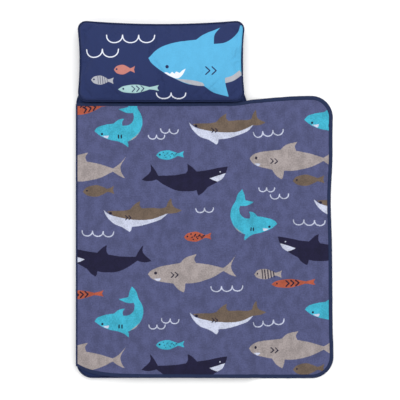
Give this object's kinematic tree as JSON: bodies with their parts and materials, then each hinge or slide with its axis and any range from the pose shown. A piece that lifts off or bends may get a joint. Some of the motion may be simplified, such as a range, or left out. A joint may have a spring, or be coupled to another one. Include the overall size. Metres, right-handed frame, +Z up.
{
  "type": "roll-up nap mat with pillow and blanket",
  "caption": "Child's roll-up nap mat: padded mat in hinged panels, stuffed pillow at its head and a fleece blanket sewn along one side, with tie straps and a carrying handle.",
  "frame": {"origin": "centre of the open mat's footprint, at floor level", "axes": "+Y towards the pillow, +X towards the blanket's free side, +Z up"},
  "size_m": [0.821, 1.14, 0.0885],
  "materials": {
    "pad": "white polyester wadding",
    "cover": "navy plain-weave cotton blend, matt",
    "piping": "navy cord piping, matt",
    "fleece": "printed short-pile plush fleece, slate blue with sea animals",
    "binding": "navy woven tape",
    "pillow_print": "printed plain-weave pillow cloth, navy with sea animals",
    "webbing": "navy woven webbing",
    "hook_loop": "hook and loop tape, navy"
  },
  "bodies": {
    "mat_foot": {"pad_foot": "pad", "top_cover_foot": "cover", "bottom_cover_foot": "cover", "piping_foot": "piping"},
    "mat_hip": {"pad_hip": "pad", "top_cover_hip": "cover", "bottom_cover_hip": "cover", "piping_hip_left": "piping", "piping_hip_right": "piping"},
    "mat_waist": {"pad_waist": "pad", "top_cover_waist": "cover", "bottom_cover_waist": "cover", "piping_waist_left": "piping", "piping_waist_right": "piping"},
    "mat_back": {"pad_back": "pad", "top_cover_back": "cover", "bottom_cover_back": "cover", "piping_back_left": "piping", "piping_back_right": "piping", "loop_patch_left": "hook_loop", "loop_patch_right": "hook_loop", "handle_anchors": "webbing"},
    "mat_neck": {"pad_neck": "pad", "top_cover_neck": "cover", "bottom_cover_neck": "cover", "piping_neck_left": "piping", "piping_neck_right": "piping"},
    "mat_head": {"pad_head": "pad", "top_cover_head": "cover", "bottom_cover_head": "cover", "piping_head": "piping", "pillow_fill": "pad", "pillow_front_cover": "pillow_print", "pillow_back_cover": "cover", "pillow_piping": "piping"},
    "blanket_foot": {"blanket_foot_over_mat": "fleece", "blanket_foot_free_side": "fleece", "binding_foot": "binding"},
    "blanket_hip": {"blanket_hip_over_mat": "fleece", "blanket_hip_free_side": "fleece", "binding_hip": "binding"},
    "blanket_waist": {"blanket_waist_over_mat": "fleece", "blanket_waist_free_side": "fleece", "binding_waist": "binding"},
    "blanket_back": {"blanket_back_over_mat": "fleece", "blanket_back_free_side": "fleece", "binding_back": "binding"},
    "blanket_neck": {"blanket_neck_over_mat": "fleece", "blanket_neck_free_side": "fleece", "binding_neck": "binding"},
    "strap_left": {"strap_left": "webbing", "hook_patch_left": "hook_loop"},
    "strap_right": {"strap_right": "webbing", "hook_patch_right": "hook_loop"},
    "handle": {"handle": "webbing"}
  },
  "joints": [
    {"name": "fold_hip_foot", "type": "hinge", "parent": "mat_hip", "child": "mat_foot", "pos_m": [-0.1375, -0.427, 0.026], "axis": [1, 0, 0], "range_deg": [-90, 0]},
    {"name": "fold_hip_waist", "type": "hinge", "parent": "mat_hip", "child": "mat_waist", "pos_m": [-0.1375, -0.129, 0.026], "axis": [-1, 0, 0], "range_deg": [-90, 0]},
    {"name": "fold_waist_back", "type": "hinge", "parent": "mat_waist", "child": "mat_back", "pos_m": [-0.1375, -0.0265, 0.026], "axis": [-1, 0, 0], "range_deg": [-90, 0]},
    {"name": "fold_back_neck", "type": "hinge", "parent": "mat_back", "child": "mat_neck", "pos_m": [-0.1375, 0.2405, 0.026], "axis": [-1, 0, 0], "range_deg": [-90, 0]},
    {"name": "fold_neck_head", "type": "hinge", "parent": "mat_neck", "child": "mat_head", "pos_m": [-0.1375, 0.312, 0.026], "axis": [-1, 0, 0], "range_deg": [-90, 0]},
    {"name": "blanket_turn_back", "type": "hinge", "parent": "mat_hip", "child": "blanket_hip", "pos_m": [-0.4075, -0.278, 0.0234], "axis": [0, -1, 0], "range_deg": [0, 182]},
    {"name": "blanket_fold_hip_foot", "type": "hinge", "parent": "blanket_hip", "child": "blanket_foot", "pos_m": [-0.1375, -0.427, 0.026], "axis": [1, 0, 0], "range_deg": [-90, 0]},
    {"name": "blanket_fold_hip_waist", "type": "hinge", "parent": "blanket_hip", "child": "blanket_waist", "pos_m": [-0.1375, -0.129, 0.026], "axis": [-1, 0, 0], "range_deg": [-90, 0]},
    {"name": "blanket_fold_waist_back", "type": "hinge", "parent": "blanket_waist", "child": "blanket_back", "pos_m": [-0.1375, -0.0265, 0.026], "axis": [-1, 0, 0], "range_deg": [-90, 0]},
    {"name": "blanket_fold_back_neck", "type": "hinge", "parent": "blanket_back", "child": "blanket_neck", "pos_m": [-0.1375, 0.2405, 0.026], "axis": [-1, 0, 0], "range_deg": [-90, 0]},
    {"name": "strap_left_open", "type": "hinge", "parent": "mat_foot", "child": "strap_left", "pos_m": [-0.2875, -0.554, 0.0009], "axis": [-1, 0, 0], "range_deg": [0, 180]},
    {"name": "strap_right_open", "type": "hinge", "parent": "mat_foot", "child": "strap_right", "pos_m": [0.0125, -0.554, 0.0009], "axis": [-1, 0, 0], "range_deg": [0, 180]},
    {"name": "handle_swing", "type": "hinge", "parent": "mat_back", "child": "handle", "pos_m": [-0.1375, 0.068, 0.0005], "axis": [-1, 0, 0], "range_deg": [0, 110]}
  ],
  "couplings": [
    {"joint": "blanket_fold_hip_foot", "follows": "fold_hip_foot", "ratio": 1},
    {"joint": "blanket_fold_hip_waist", "follows": "fold_hip_waist", "ratio": 1},
    {"joint": "blanket_fold_waist_back", "follows": "fold_waist_back", "ratio": 1},
    {"joint": "blanket_fold_back_neck", "follows": "fold_back_neck", "ratio": 1}
  ]
}
